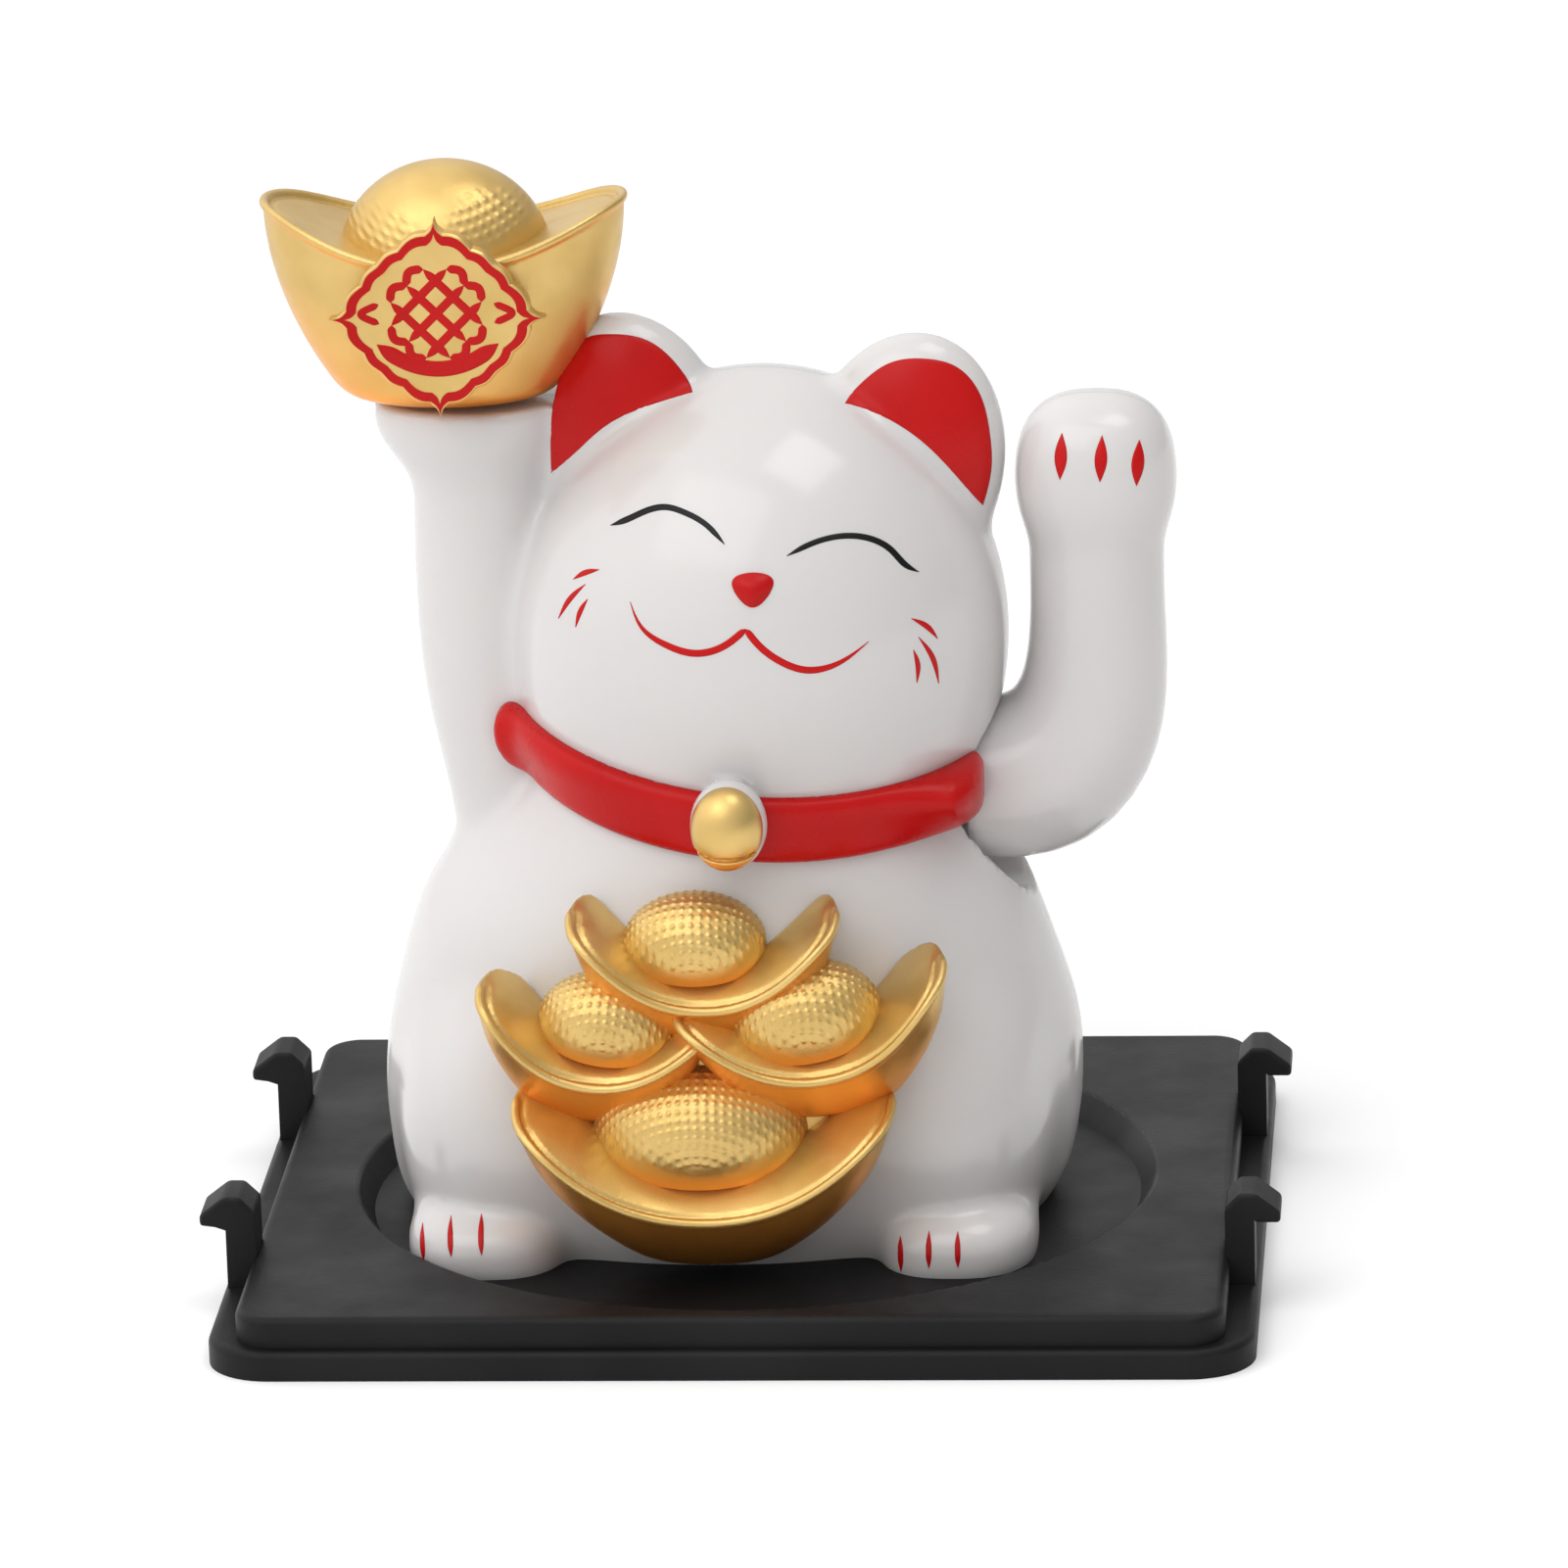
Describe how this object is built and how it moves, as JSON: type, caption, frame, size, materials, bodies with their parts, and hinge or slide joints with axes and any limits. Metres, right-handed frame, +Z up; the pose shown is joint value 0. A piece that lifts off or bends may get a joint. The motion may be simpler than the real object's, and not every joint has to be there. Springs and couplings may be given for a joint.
{
  "type": "beckoning cat figurine",
  "caption": "Small seated cat figurine with a swinging arm, a held ingot and lap ingots, standing on the hooked base tray of a display case.",
  "frame": {"origin": "middle of the tray's underside", "axes": "+Z up, the cat faces -Y, its waving arm is on the +X side and its arm with the ingot on the -X side"},
  "size_m": [0.0662, 0.0548, 0.0689],
  "materials": {
    "white_plastic": "glossy moulded white plastic",
    "red_plastic": "glossy red",
    "gold_plastic": "satin gold metallic paint on plastic",
    "black_plastic": "fine matte black",
    "natural_nylon": "natural nylon",
    "steel": "plain steel",
    "zinc_steel": "zinc plated steel",
    "brass": "turned brass",
    "magnet": "nickel plated disc magnet",
    "copper_winding": "enamelled copper wire",
    "board": "green solder mask",
    "black_resin": "black potting resin",
    "capacitor_can": "sleeved can",
    "solar_cell": "dark amorphous silicon glass",
    "foam": "white foam with adhesive faces",
    "black_rubber": "thin black gasket",
    "red_wire": "red insulation",
    "black_wire": "black insulation"
  },
  "bodies": {
    "figure_on_tray": {"display_tray": "black_plastic", "adhesive_pad": "foam", "bottom_cover": "white_plastic", "cover_screws": "zinc_steel", "body_front_shell": "white_plastic", "body_back_shell": "white_plastic", "collar": "red_plastic", "bell": "gold_plastic", "lap_ingots": "gold_plastic", "held_ingot_boat": "gold_plastic", "held_ingot_dome": "gold_plastic", "pivot_yoke": "natural_nylon", "yoke_screws": "zinc_steel", "pivot_bush_left": "brass", "pivot_bush_right": "brass", "circuit_board": "board", "board_screws": "zinc_steel", "coil_bobbin": "natural_nylon", "coil_winding": "copper_winding", "drive_chip": "black_resin", "storage_capacitor": "capacitor_can", "solar_cell": "solar_cell", "cell_gasket": "black_rubber", "solar_lead_red": "red_wire", "solar_lead_black": "black_wire"},
    "waving_arm": {"arm_front_half": "white_plastic", "arm_back_half": "white_plastic", "arm_hub": "natural_nylon", "pivot_shaft": "steel", "shaft_clip": "natural_nylon", "pendulum_lever": "natural_nylon", "pendulum_magnet": "magnet"}
  },
  "joints": [
    {"name": "arm_wave", "type": "hinge", "parent": "figure_on_tray", "child": "waving_arm", "pos_m": [0, 0.001, 0.0292], "axis": [1, 0, 0], "range_deg": [-20, 20]}
  ]
}
